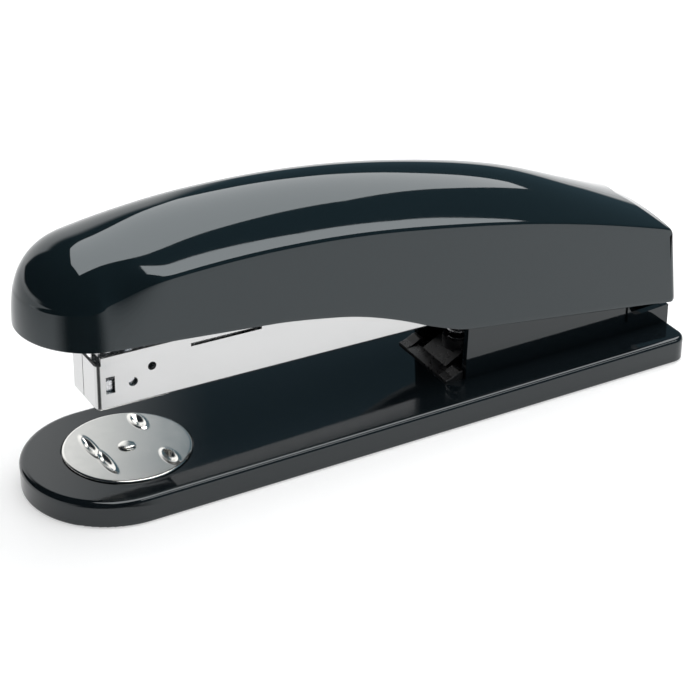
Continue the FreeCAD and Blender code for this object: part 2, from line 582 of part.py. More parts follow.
COVER_SCREWS = (-34.0, 14.0)


def make_cover_shell():
    """Hollow moulded cap with an open underside and two inner screw posts."""
    crown = cover_crown()
    inner_crown = crown.copy()
    inner_crown.translate(Vec(0, 1.2, -COVER_WALL))
    rake = side_plate([(COVER_REAR - 3.5, 45), (COVER_REAR, 14), (COVER_REAR + 10, 14), (COVER_REAR + 10, 45)],
                      -30, 30)
    outer = cover_plan(0, 10, 80).common(crown).cut(rake)
    inner = cover_plan(COVER_WALL, 5, 80).common(inner_crown)
    inner = inner.cut(rake.translated(Vec(0, -COVER_WALL, 0)))
    shell = outer.cut(inner)
    below_frame_top = side_plate([(y, z + 0.05) for y, z in FRAME_TOP] + [(66.0, 0), (-68.0, 0)], -10, 10)
    under_skin = outer.translated(Vec(0, 0, -COVER_WALL / 2))
    posts = []
    for y in COVER_SCREWS:
        post = Part.makeCylinder(3.0, 60, Vec(0, y, 20)).common(under_skin)
        bore = Part.makeCylinder(1.25, 6.5, Vec(0, y, frame_top(y) - 0.9))
        posts.append(post.cut([below_frame_top, bore]))
    shell = shell.fuse(posts)
    wall_slots = both_sides(box(PEDESTAL_HALF_WIDTH - PEDESTAL_WALL - 0.6, PEDESTAL_HALF_WIDTH + 0.6,
                                74, COVER_REAR + 5, 0, 34.5))
    apron_trim = box(-COVER_HALF_WIDTH + COVER_WALL, COVER_HALF_WIDTH - COVER_WALL, 74, COVER_REAR + 5, 0, 20.5)
    return shell.cut([below_rim(), wall_slots, apron_trim]).removeSplitter()


# Steel frame's side outline: top edge, then lower edge, as (Y, height)
FRAME_TOP = [(-68.0, 57.6), (-30.0, 58.8), (10.0, 52.8), (40.0, 45.6), (66.0, 38.6)]
FRAME_LOW = [(74.0, 25.0), (40.0, 33.5), (10.0, 41.5), (-30.0, 48.5), (-68.0, 48.5)]


def frame_top(y):
    """Height of the frame's top face at a place along the stapler."""
    for (y0, z0), (y1, z1) in zip(FRAME_TOP, FRAME_TOP[1:]):
        if y0 <= y <= y1:
            return z0 + (z1 - z0) * (y - y0) / (y1 - y0)
    raise ValueError(y)


def make_handle_frame():
    """Pressed steel lever inside the cover: two arms, a top web and a front plate."""
    outside = ARM_INSIDE + ARM_SHEET
    arm = side_plate(FRAME_TOP + [(HINGE_Y, HINGE_Z + 5)] + FRAME_LOW, ARM_INSIDE, outside)
    eye = Part.makeCylinder(5.0, ARM_SHEET, Vec(ARM_INSIDE, HINGE_Y, HINGE_Z), X_AXIS)
    web_low = [(y, z - ARM_SHEET) for y, z in reversed(FRAME_TOP)]
    web = side_plate(FRAME_TOP + web_low, -outside, outside)
    front = place_driver(box(-outside, outside, BLADE_FACE + BLADE_THICKNESS,
                             BLADE_FACE + BLADE_THICKNESS + ARM_SHEET, 38.8, BLADE_TOP))
    link = box(-outside, outside, -69.6, -66.0, frame_top(-68.0) - ARM_SHEET, frame_top(-68.0))
    body = fuse_all([both_sides(arm.fuse(eye)), web, front, link])
    cuts = [Part.makeCylinder(PIN_RADIUS + RUNNING_GAP, 40, Vec(-20, HINGE_Y, HINGE_Z), X_AXIS)]
    for y in COVER_SCREWS:
        cuts.append(Part.makeCylinder(1.35, 30, Vec(0, y, 30)))
    cuts += [place_driver(hole) for hole in blade_rivet_holes()]
    return body.cut(cuts)


def blade_rivet_holes():
    return [rod(Vec(x, -80, RIVET_Z), Vec(x, -60, RIVET_Z), 1.05) for x in (-RIVET_X, RIVET_X)]


def make_driver_blade():
    """Hardened strip that pushes the front staple out."""
    blade = box(-BLADE_HALF_WIDTH, BLADE_HALF_WIDTH, BLADE_FACE, BLADE_FACE + BLADE_THICKNESS, BLADE_TIP, BLADE_TOP)
    return place_driver(blade.cut(blade_rivet_holes()))


def make_blade_rivets():
    rivets = []
    back = BLADE_FACE + BLADE_THICKNESS + ARM_SHEET
    for x in (-RIVET_X, RIVET_X):
        shank = rod(Vec(x, BLADE_FACE - 0.02, RIVET_Z), Vec(x, back + 0.02, RIVET_Z), 1.0)
        front_head = rod(Vec(x, BLADE_FACE - 0.5, RIVET_Z), Vec(x, BLADE_FACE - 0.02, RIVET_Z), 1.6)
        back_head = rod(Vec(x, back + 0.02, RIVET_Z), Vec(x, back + 0.7, RIVET_Z), 1.6)
        rivets.append(place_driver(fuse_all([shank, front_head, back_head])))
    return Part.makeCompound(rivets)


def make_cover_screws():
    screws = []
    for y in COVER_SCREWS:
        under = frame_top(y) - ARM_SHEET - 0.65
        head = Part.makeCylinder(2.3, 1.3, Vec(0, y, under - 1.3))
        shank = Part.makeCylinder(1.15, 6.0, Vec(0, y, under - 0.1))
        slot = box(-2.5, 2.5, y - 0.3, y + 0.3, under - 1.4, under - 0.8)
        screws.append(head.fuse(shank).cut(slot))
    return Part.makeCompound(screws)


NODES = {
    "base_shell": make_base_shell,
    "base_pad": make_base_pad,
    "spring_bracket": make_spring_bracket,
    "bracket_screws": make_bracket_screws,
    "lift_spring": make_lift_spring,
    "magazine_stop": make_magazine_stop,
    "hinge_pin": make_hinge_pin,
    "pin_clip": make_pin_clip,
    "hinge_spacers": make_hinge_spacers,
    "anvil_plate": make_anvil_plate,
    "anvil_post": make_anvil_post,
    "anvil_button": make_anvil_button,
    "anvil_spring": make_anvil_spring,
    "cover_shell": make_cover_shell,
    "handle_frame": make_handle_frame,
    "driver_blade": make_driver_blade,
    "blade_rivets": make_blade_rivets,
    "cover_screws": make_cover_screws,
}
MAGAZINE_NODES = {
    "magazine_channel": make_magazine_channel,
    "staple_rail": make_staple_rail,
    "rail_pins": make_rail_pins,
    "staple_strip": make_staple_strip,
    "rod_front_block": lambda: rod_block(ROD_BLOCK_Y),
    "rod_rear_stop": lambda: rod_block(REAR_STOP_Y),
    "guide_rod": make_guide_rod,
    "pusher": make_pusher,
    "pusher_spring": make_pusher_spring,
    "return_spring": make_return_spring,
}


def main():
    os.makedirs("parts", exist_ok=True)
    for name, make in NODES.items():
        make().exportStep(f"parts/{name}.step")
    for name, make in MAGAZINE_NODES.items():
        place_magazine(make()).exportStep(f"parts/{name}.step")


main()
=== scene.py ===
"""Looks of the full-strip desk stapler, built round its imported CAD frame. Metres, +Z up."""
import bpy
import bmesh
import json
import math
from mathutils import Matrix, Vector


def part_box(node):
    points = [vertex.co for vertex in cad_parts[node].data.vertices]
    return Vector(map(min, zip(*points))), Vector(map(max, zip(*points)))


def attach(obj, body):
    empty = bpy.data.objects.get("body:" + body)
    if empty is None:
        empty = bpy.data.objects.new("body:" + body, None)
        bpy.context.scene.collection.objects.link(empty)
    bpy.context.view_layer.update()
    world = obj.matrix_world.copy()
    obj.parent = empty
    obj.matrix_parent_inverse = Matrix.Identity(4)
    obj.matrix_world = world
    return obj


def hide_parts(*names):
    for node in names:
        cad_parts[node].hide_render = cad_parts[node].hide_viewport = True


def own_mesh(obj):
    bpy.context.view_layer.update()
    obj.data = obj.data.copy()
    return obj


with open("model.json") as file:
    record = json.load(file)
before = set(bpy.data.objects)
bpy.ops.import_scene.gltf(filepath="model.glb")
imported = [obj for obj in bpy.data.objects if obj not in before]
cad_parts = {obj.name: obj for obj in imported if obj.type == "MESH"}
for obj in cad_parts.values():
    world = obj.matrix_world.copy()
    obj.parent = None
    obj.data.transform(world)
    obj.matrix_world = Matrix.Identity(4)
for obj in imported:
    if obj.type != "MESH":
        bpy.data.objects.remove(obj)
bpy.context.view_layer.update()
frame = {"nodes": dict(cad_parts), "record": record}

MM = 0.001
NODES = frame["nodes"]
MERGE_DISTANCE = 2e-6
SHORTEST_EDGE = 1e-7
MAGAZINE_TILT = math.radians(-1.106)


# ---- small tools ------------------------------------------------------------------
def smooth_curve(points):
    """Smooth function through a few (y, z) points: cubic spans with averaged slopes."""
    ys = [p[0] for p in points]
    zs = [p[1] for p in points]
    spans = [(zs[i + 1] - zs[i]) / (ys[i + 1] - ys[i]) for i in range(len(ys) - 1)]
    slopes = [spans[0]]
    for i in range(1, len(spans)):
        before = ys[i] - ys[i - 1]
        after = ys[i + 1] - ys[i]
        slopes.append((spans[i - 1] * after + spans[i] * before) / (before + after))
    slopes.append(spans[-1])

    def value(y):
        i = 0
        while i < len(spans) - 1 and y > ys[i + 1]:
            i += 1
        width = ys[i + 1] - ys[i]
        t = min(max((y - ys[i]) / width, 0.0), 1.0)
        t2, t3 = t * t, t * t * t
        return ((2 * t3 - 3 * t2 + 1) * zs[i] + (t3 - 2 * t2 + t) * width * slopes[i]
                + (3 * t2 - 2 * t3) * zs[i + 1] + (t3 - t2) * width * slopes[i + 1])

    return value


def new_object(name, mesh):
    obj = bpy.data.objects.new(name, mesh)
    bpy.context.scene.collection.objects.link(obj)
    return obj


def mesh_object(name, verts, faces, smooth=True):
    """Object from points and faces, with doubled points merged and normals facing out."""
    mesh = bpy.data.meshes.new(name)
    mesh.from_pydata([tuple(v) for v in verts], [], faces)
    mesh.validate()
    bm = bmesh.new()
    bm.from_mesh(mesh)
    bmesh.ops.remove_doubles(bm, verts=bm.verts, dist=MERGE_DISTANCE)
    bmesh.ops.dissolve_degenerate(bm, edges=bm.edges, dist=SHORTEST_EDGE)
    bmesh.ops.recalc_face_normals(bm, faces=bm.faces)
    bm.to_mesh(mesh)
    bm.free()
    for face in mesh.polygons:
        face.use_smooth = smooth
    return new_object(name, mesh)


def ring_faces(rows, columns):
    """Quads between closed rows of points; each row has the given number of columns."""
    faces = []
    for r in range(rows - 1):
        for c in range(columns):
            d = (c + 1) % columns
            faces.append((r * columns + c, r * columns + d, (r + 1) * columns + d, (r + 1) * columns + c))
    return faces


def blend_step(low, high, value):
    """0 below low, 1 above high, smooth between."""
    t = min(max((value - low) / (high - low), 0.0), 1.0)
    return t * t * (3 - 2 * t)


# ---- materials ----------------------------------------------------------------------
FINE_NOISE_RATIO = 14
BUMP_DISTANCE = 0.0002


def node_material(name, colour, second, metallic, roughness, rough_spread, scale, bump,
                  sockets=None, stretch=(1, 1, 1)):
    """Principled material whose colour, roughness and bump vary with two sizes of noise."""
    mat = bpy.data.materials.new(name)
    mat.use_nodes = True
    tree = mat.node_tree
    nodes, links = tree.nodes, tree.links
    shader = nodes["Principled BSDF"]
    shader.inputs["Metallic"].default_value = metallic
    for socket, value in (sockets or {}).items():
        shader.inputs[socket].default_value = value
    coords = nodes.new("ShaderNodeTexCoord")
    mapping = nodes.new("ShaderNodeMapping")
    mapping.inputs["Scale"].default_value = stretch
    links.new(coords.outputs["Object"], mapping.inputs["Vector"])
    broad = nodes.new("ShaderNodeTexNoise")
    broad.inputs["Scale"].default_value = scale
    broad.inputs["Detail"].default_value = 3
    fine = nodes.new("ShaderNodeTexNoise")
    fine.inputs["Scale"].default_value = scale * FINE_NOISE_RATIO
    fine.inputs["Detail"].default_value = 4
    for noise in (broad, fine):
        links.new(mapping.outputs["Vector"], noise.inputs["Vector"])
    mix = nodes.new("ShaderNodeMix")
    mix.data_type = "RGBA"
    mix.inputs["A"].default_value = (*colour, 1)
    mix.inputs["B"].default_value = (*second, 1)
    links.new(broad.outputs["Fac"], mix.inputs["Factor"])
    links.new(mix.outputs["Result"], shader.inputs["Base Color"])
    spread = nodes.new("ShaderNodeMapRange")
    spread.inputs["From Min"].default_value = 0.3
    spread.inputs["From Max"].default_value = 0.7
    spread.inputs["To Min"].default_value = roughness - rough_spread
    spread.inputs["To Max"].default_value = roughness + rough_spread
    links.new(fine.outputs["Fac"], spread.inputs["Value"])
    links.new(spread.outputs["Result"], shader.inputs["Roughness"])
    bumper = nodes.new("ShaderNodeBump")
    bumper.inputs["Strength"].default_value = bump
    bumper.inputs["Distance"].default_value = BUMP_DISTANCE
    links.new(fine.outputs["Fac"], bumper.inputs["Height"])
    links.new(bumper.outputs["Normal"], shader.inputs["Normal"])
    return mat


# Slot: base colour, second colour, metallic, roughness, its spread, noise scale, bump
LOOKS = {
    "cover_plastic": ((0.0045, 0.0085, 0.0105), (0.006, 0.0115, 0.014), 0.0, 0.045, 0.012, 22, 0.004),
    "base_plastic": ((0.0045, 0.0065, 0.008), (0.006, 0.009, 0.011), 0.0, 0.06, 0.015, 22, 0.006),
    "bracket_plastic": ((0.008, 0.008, 0.009), (0.013, 0.013, 0.014), 0.0, 0.32, 0.08, 60, 0.08),
    "pusher_plastic": ((0.015, 0.015, 0.016), (0.024, 0.024, 0.026), 0.0, 0.36, 0.08, 60, 0.08),
    "nylon": ((0.62, 0.60, 0.55), (0.70, 0.68, 0.62), 0.0, 0.42, 0.06, 60, 0.05),
    "rubber": ((0.012, 0.012, 0.012), (0.022, 0.022, 0.022), 0.0, 0.75, 0.1, 90, 0.35),
    "magazine_chrome": ((0.64, 0.64, 0.64), (0.59, 0.59, 0.59), 1.0, 0.2, 0.03, 26, 0.008),
    "anvil_nickel": ((0.80, 0.79, 0.76), (0.76, 0.75, 0.72), 1.0, 0.17, 0.02, 26, 0.006),
    "zinc_steel": ((0.55, 0.56, 0.57), (0.66, 0.66, 0.66), 1.0, 0.34, 0.08, 70, 0.1),
    "hard_steel": ((0.36, 0.36, 0.37), (0.46, 0.46, 0.46), 1.0, 0.26, 0.07, 60, 0.08),
    "pin_steel": ((0.60, 0.60, 0.60), (0.68, 0.68, 0.67), 1.0, 0.22, 0.06, 80, 0.06),
    "screw_steel": ((0.42, 0.42, 0.43), (0.55, 0.55, 0.54), 1.0, 0.3, 0.08, 80, 0.08),
    "spring_steel": ((0.40, 0.40, 0.41), (0.52, 0.52, 0.52), 1.0, 0.25, 0.07, 80, 0.05),
    "staple_wire": ((0.66, 0.67, 0.69), (0.74, 0.74, 0.75), 1.0, 0.25, 0.07, 80, 0.05),
}
EXTRAS = {
    "cover_plastic": {"sockets": {"IOR": 1.6, "Specular Tint": (0.90, 0.97, 1.0, 1)}},
    "base_plastic": {"sockets": {"IOR": 1.57, "Specular Tint": (0.93, 0.98, 1.0, 1)}},
    "magazine_chrome": {"stretch": (1, 0.2, 1)},
    "hard_steel": {"stretch": (0.1, 1, 1)},
}
MATERIALS = {slot: node_material(slot, *look, **EXTRAS.get(slot, {}))
             for slot, look in LOOKS.items()}


def dress(obj, slot):
    """Gives an object its slot's material, and no other."""
    obj.data.materials.clear()
    obj.data.materials.append(MATERIALS[slot])


def dress_cad_nodes():
    for part in frame["record"]["subparts"]:
        dress(NODES[part["node"]], part["material_slot"])


# ---- cover ------------------------------------------------------------------------------
COVER_LOW, COVER_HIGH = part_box("cover_shell")
COVER_HALF = COVER_HIGH.x
COVER_NOSE = COVER_LOW.y
COVER_REAR = COVER_HIGH.y
NOSE_CENTRE = COVER_NOSE + COVER_HALF
REAR_CENTRE = 80.0 * MM
COVER_WALL = 2.0 * MM
REAR_CORNER = 1.8 * MM
RAKE_FOOT = 14 * MM
CREASE_FADE_START = -56.0
SHOULDER_FOOT = 55.6 * MM
SHOULDER_RADIUS = 14.0 * MM
SIDE_STEPS = 130
NOSE_TURNS = 64
REAR_RAKE = -0.113
RAKE_START, RAKE_FULL = 87.4 * MM, 88.8 * MM
REAR_SOFT_START, REAR_SOFT_FULL = 84.0, 90.0
NOSE_SAG, SAG_REACH, SAG_FOOT = 0.16, 6 * MM, 56 * MM
SLOT_INSIDE, SLOT_OUTSIDE, SLOT_TOP = 10.3 * MM, 13.5 * MM, 34.5 * MM
APRON_HALF, APRON_TOP = 14.5 * MM, 20.5 * MM
CUT_FRONT, CUT_REAR, CUT_FOOT = 74 * MM, 96 * MM, 5 * MM

# Centre line and side crease, as (y, z) in millimetres; from y = 46 back the crease is 0.3 to 0.5 mm
# higher than the CAD's
RIDGE = smooth_curve([(-73.1, 68.7), (-58.0, 71.1), (-32.0, 71.9), (-8.0, 70.1), (18.0, 65.5),
                      (46.0, 57.7), (67.0, 48.8), (80.0, 43.0), (91.5, 37.8)])
CREASE = smooth_curve([(-73.1, 58.9), (-58.0, 59.95), (-32.0, 60.35), (-8.0, 58.7), (18.0, 54.75),
                       (46.0, 49.1), (67.0, 43.6), (80.0, 39.7), (91.5, 36.0)])
# Round nose: control points (radius, height) of its crown and of the wall below it
NOSE_CROWN = ((15.1, 57.4), (13.4, 62.9), (8.5, 68.7), (0.0, 68.7))
NOSE_WALL = ((16.5, 46.8), (16.45, 53.0), (15.1, 57.4))
# Rim: the arch's two ends as (y, z) in millimetres, and the slopes of the straight runs beyond them.
# The arch's points at y = -18.6 and 3.9 are measurements from the photo by a separate script.
RIM_FRONT_Y, RIM_FRONT_Z, RIM_FRONT_SLOPE = -30, 40.72, -0.0997
RIM_REAR_Y, RIM_REAR_Z, RIM_REAR_SLOPE = 32, 23.2, -0.1417
RIM_CORNER_Y, RIM_CORNER_RISE = 88.6, 0.28
RIM_ARCH = smooth_curve([(-40.0, 41.72), (-30.0, 40.72), (-18.6, 38.9), (-8.0, 36.6), (3.9, 32.4),
                         (14.0, 27.9), (22.0, 24.9), (32.0, 23.2), (40.0, 22.07)])
ROWS_WALL, ROWS_ROUND, ROWS_TOP = 16, 10, 20


def rim_height(y):
    """Lower edge of the cover: straight, then an arch, then straight to a rounded rear corner."""
    place = y / MM
    if place < RIM_FRONT_Y:
        return (RIM_FRONT_Z + RIM_FRONT_SLOPE * (place - RIM_FRONT_Y)) * MM
    if place > RIM_REAR_Y:
        corner = max(place - RIM_CORNER_Y, 0.0)
        return (RIM_REAR_Z + RIM_REAR_SLOPE * (place - RIM_REAR_Y) + RIM_CORNER_RISE * corner * corner) * MM
    return RIM_ARCH(place) * MM


def top_height(x, y, inset):
    """Arched top of the cover; the inner skin is the same shape, lower."""
    ridge = RIDGE(y / MM) * MM
    crease = CREASE(y / MM) * MM
    return ridge - (ridge - crease) * (x / COVER_HALF) ** 2 - inset


def bezier(points, t):
    """Point on a curve through (radius, height) control points, in metres."""
    work = [Vector(p) for p in points]
    while len(work) > 1:
        work = [a.lerp(b, t) for a, b in zip(work, work[1:])]
    return work[0] * MM


def creased_section(y, inset):
    """Points (radius, height) from rim to centre line where the side has its crease."""
    half = COVER_HALF - inset
    rim = rim_height(y)
    reach = max(0.5 * MM - inset * 0.5, 0.2 * MM)
    crease = top_height(half, y, inset)
    wall_top = crease - reach
    inner = half - reach
    inner_z = top_height(inner, y, inset)
    points = []
    for r in range(ROWS_WALL):
        points.append(Vector((half, rim + (wall_top - rim) * r / ROWS_WALL)))
    for r in range(ROWS_ROUND + 1):
        t = r / ROWS_ROUND
        a, b, c = (1 - t) ** 2, 2 * t * (1 - t), t * t
        points.append(Vector((half * (a + b) + inner * c, wall_top * a + crease * b + inner_z * c)))
    for r in range(1, ROWS_TOP + 1):
        x = inner * (1 - r / ROWS_TOP)
        points.append(Vector((x, top_height(x, y, inset))))
    return points


def nose_profile():
    """Dense outline of the round nose from the wall's foot to the crest, in metres."""
    wall = [bezier(NOSE_WALL, i / 60) for i in range(60)]
    crown = [bezier(NOSE_CROWN, i / 120) for i in range(121)]
    return wall + crown


NOSE_OUTLINE = nose_profile()


def nose_radius(z):
    """Radius of the nose wall at a height."""
    if z <= NOSE_OUTLINE[0].y:
        return NOSE_OUTLINE[0].x
    for p, q in zip(NOSE_OUTLINE, NOSE_OUTLINE[1:]):
        if q.y >= z:
            return p.x + (q.x - p.x) * (z - p.y) / (q.y - p.y)
    return 0.0


def nose_height(radius):
    """Height of the nose's crown at a radius."""
    for p, q in zip(NOSE_OUTLINE, NOSE_OUTLINE[1:]):
        if q.x <= radius < p.x:
            return p.y + (q.y - p.y) * (p.x - radius) / (p.x - q.x)
    return NOSE_OUTLINE[-1].y


def nose_section(y, inset):
    """The same count of points round the soft nose: wall, shoulder and crown in one sweep."""
    rim = rim_height(y)
    wall_top = SHOULDER_FOOT
    shoulder = SHOULDER_RADIUS
    points = []
    for r in range(ROWS_WALL):
        z = rim + (wall_top - rim) * r / ROWS_WALL
        points.append(Vector((nose_radius(z), z)))
    edge = nose_radius(wall_top)
    corner_z = nose_height(shoulder)
    for r in range(ROWS_ROUND + 1):
        t = r / ROWS_ROUND
        z = wall_top + (corner_z - wall_top) * t
        points.append(Vector((nose_radius(z) if r else edge, z)))
    for r in range(1, ROWS_TOP + 1):
        radius = shoulder * (1 - r / ROWS_TOP)
        points.append(Vector((radius, nose_height(radius))))
    if inset == 0.0:
        return points
    shrunk = [Vector((points[0].x - inset, points[0].y))]
    for before, point, after in zip(points, points[1:], points[2:]):
        way = (after - before).normalized()
        inside = point - Vector((way.y, -way.x)) * inset
        shrunk.append(Vector((max(inside.x, 0.0), inside.y)))
    shrunk.append(Vector((0.0, points[-1].y - inset)))
    return shrunk


def blended_section(y, inset):
    """Cross-section at y: the crease fades out towards the nose."""
    soft = blend_step(0.0, 1.0, (CREASE_FADE_START - y / MM) / (CREASE_FADE_START - NOSE_CENTRE / MM))
    if soft == 0.0:
        return creased_section(y, inset)
    rim = rim_height(y)
    rise = RIDGE(y / MM) * MM - NOSE_OUTLINE[-1].y
    points = []
    for sharp, smooth in zip(creased_section(y, inset), nose_section(y, inset)):
        share = min((smooth.y - rim) / (SHOULDER_FOOT - rim), 1.0)
        points.append(sharp.lerp(smooth + Vector((0, rise * share)), soft))
    return points


def side_places():
    """Evenly spaced places along the side from the rear turning point to the nose."""
    return [REAR_CENTRE + (NOSE_CENTRE - REAR_CENTRE) * i / SIDE_STEPS for i in range(SIDE_STEPS + 1)]


def rear_column(point, inset):
    """Rim, wall, rounded edge and top above one point of the rear outline."""
    centre = Vector((0, REAR_CENTRE))
    inward = centre - point
    length = inward.length
    inward.normalize()
    rear = blend_step(REAR_SOFT_START, REAR_SOFT_FULL, point.y / MM)
    reach = min(max((0.5 + 0.9 * rear) * MM - inset * 0.5, 0.3 * MM), length * 0.8)
    rake = REAR_RAKE * blend_step(RAKE_START, RAKE_FULL, point.y)
    corner_z = top_height(point.x, point.y, inset)
    wall_top = corner_z - reach
    rim = rim_height(point.y)
    inner = point + inward * reach
    inner_z = top_height(inner.x, inner.y, inset)
    column = []
    for r in range(ROWS_WALL):
        z = rim + (wall_top - rim) * r / ROWS_WALL
        column.append(Vector((point.x, point.y + rake * (z - RAKE_FOOT), z)))
    shift = rake * (wall_top - RAKE_FOOT)
    for r in range(ROWS_ROUND + 1):
        t = r / ROWS_ROUND
        a, b, c = (1 - t) ** 2, 2 * t * (1 - t), t * t
        column.append(Vector((point.x * (a + b) + inner.x * c,
                              (point.y + shift) * (a + b) + (inner.y + shift) * c,
                              wall_top * a + corner_z * b + inner_z * c)))
    for r in range(1, ROWS_TOP + 1):
        t = r / ROWS_TOP
        place = inner.lerp(centre, t)
        column.append(Vector((place.x, place.y + shift * (1 - t), top_height(place.x, place.y, inset))))
    return column


def cover_rows(inset):
    """Rows of points from the rim up to the centre line, once round the cover."""
    columns = []
    places = side_places()
    for y in places:
        columns.append([Vector((p.x, y, p.y)) for p in blended_section(y, inset)])
    for i in range(1, NOSE_TURNS):
        a = math.pi * i / NOSE_TURNS
        section = nose_section(NOSE_CENTRE - COVER_HALF * math.sin(a), inset)
        column = []
        for p in section:
            ahead = p.x * math.sin(a)
            sag = NOSE_SAG * ahead * math.exp(-ahead / SAG_REACH) if p.y > SAG_FOOT else 0.0
            column.append(Vector((p.x * math.cos(a), NOSE_CENTRE - ahead, p.y - sag)))
        columns.append(column)
    for y in reversed(places):
        columns.append([Vector((-p.x, y, p.y)) for p in blended_section(y, inset)])
    half = COVER_HALF - inset
    rear = COVER_REAR - inset
    corner = REAR_CORNER - inset / 4
    outline = []
    for i in range(1, 8):
        outline.append(Vector((-half, REAR_CENTRE + (rear - corner - REAR_CENTRE) * i / 8)))
    for i in range(9):
        a = math.pi / 2 * i / 8
        outline.append(Vector((-half + corner - corner * math.cos(a), rear - corner + corner * math.sin(a))))
    for i in range(1, 24):
        outline.append(Vector((-half + corner + (2 * half - 2 * corner) * i / 24, rear)))
    outline += [Vector((-p.x, p.y)) for p in reversed(outline[:16])]
    for point in outline:
        columns.append(rear_column(point, inset))
    return [[column[r] for column in columns] for r in range(len(columns[0]))]


def make_cover():
    """Hollow cover: outer skin, rounded rim and inner skin, with the rear slots cut out."""
    outer = cover_rows(0.0)
    inner = cover_rows(COVER_WALL)
    edge = 0.35 * MM
    row_a, row_b, row_c = [], [], []
    for p, q in zip(outer[0], inner[0]):
        way = Vector((q.x - p.x, q.y - p.y, 0))
        way.normalize()
        row_a.append(p + Vector((0, 0, edge)))
        row_b.append(p + way * edge * 0.3 + Vector((0, 0, edge * 0.3)))
        row_c.append(p + way * edge)
    outer[0] = row_a
    rows = list(reversed(outer)) + [row_b, row_c] + inner
    columns = len(rows[0])
    verts = [v for row in rows for v in row]
    cover = mesh_object("cover", verts, ring_faces(len(rows), columns))
    cut_rear_slots(cover)
    cover.data.set_sharp_from_angle(angle=math.radians(38))
    dress(cover, "cover_plastic")
    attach(cover, "handle")
    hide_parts("cover_shell")


# ---- anvil ------------------------------------------------------------------------------
def trough(x, y, length, width, depth, lip):
    """Height of a pressed oval hollow along X: a smooth dip with a raised lip round it."""
    reach = math.hypot(x / (length / 2), y / (width / 2))
    dip = -depth * (1 - blend_step(0.25, 1.0, reach))
    return dip + lip * math.exp(-((reach - 1.18) / 0.2) ** 2)


def anvil_relief(x, y):
    """Height over the flat plate, in millimetres, about the plate's centre."""
    z = 0.0
    for side in (-1, 1):
        z += trough(x - side * 3.9, y + 7.67 - side * 0.4, 8.6, 2.0, 0.55, 0.16)
        z += trough(x - side * 9.3, y - 7.23, 5.8, 2.6, 0.65, 0.24)
    return z


def make_anvil_plate():
    """Round plate with its pressed grooves, a rounded rim and the post's hole."""
    low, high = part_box("anvil_plate")
    centre = (low + high) / 2
    radius = (high.x - low.x) / 2 / MM
    thick = (high.z - low.z) / MM
    hole = 1.66
    around = 288
    rings = 84
    profile = [(hole + (radius - 0.5 - hole) * i / rings, 0.0) for i in range(rings + 1)]
    for i in range(1, 7):
        a = math.pi / 2 * i / 6
        profile.append((radius - 0.5 + 0.5 * math.sin(a), -0.5 + 0.5 * math.cos(a)))
    top_rows = len(profile)
    profile += [(radius, -thick + 0.15), (radius - 0.15, -thick), (hole + 0.1, -thick), (hole, -thick + 0.1),
                (hole, -0.05)]
    verts = []
    for row, (r, z) in enumerate(profile):
        for c in range(around):
            a = 2 * math.pi * c / around
            x, y = r * math.cos(a), r * math.sin(a)
            lift = anvil_relief(x, y) if row < top_rows and r < radius - 0.3 else 0.0
            verts.append((centre.x + x * MM, centre.y + y * MM, high.z + (z + lift) * MM))
    faces = ring_faces(len(profile), around)
    last = (len(profile) - 1) * around
    faces += [(last + c, last + (c + 1) % around, (c + 1) % around, c) for c in range(around)]
    plate = mesh_object("anvil_disc", verts, faces)
    plate.data.set_sharp_from_angle(angle=math.radians(50))
    dress(plate, "anvil_nickel")
    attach(plate, "anvil")
    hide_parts("anvil_plate")


def make_anvil_rivet():
    """Turned post under the disc with its flat, softly rounded rivet head on top."""
    low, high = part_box("anvil_post")
    centre = (low + high) / 2
    top = high.z / MM
    foot = low.z / MM
    profile = [(0.02, top - 0.1), (0.9, top - 0.11), (1.5, top - 0.16), (1.9, top - 0.26), (2.15, top - 0.4),
               (2.28, top - 0.56), (2.28, 7.85), (1.6, 7.84), (1.6, 6.46), (2.4, 6.45), (2.5, 6.35),
               (2.5, foot + 0.1), (2.4, foot), (0.02, foot)]
    around = 72
    verts = []
    for r, z in profile:
        for c in range(around):
            a = 2 * math.pi * c / around
            verts.append((centre.x + r * MM * math.cos(a), centre.y + r * MM * math.sin(a), z * MM))
    faces = ring_faces(len(profile), around)
    last = (len(profile) - 1) * around
    faces.append(tuple(reversed(range(around))))
    faces.append(tuple(range(last, last + around)))
    rivet = mesh_object("anvil_rivet", verts, faces)
    rivet.data.set_sharp_from_angle(angle=math.radians(40))
    dress(rivet, "anvil_nickel")
    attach(rivet, "anvil_button")
    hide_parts("anvil_post")


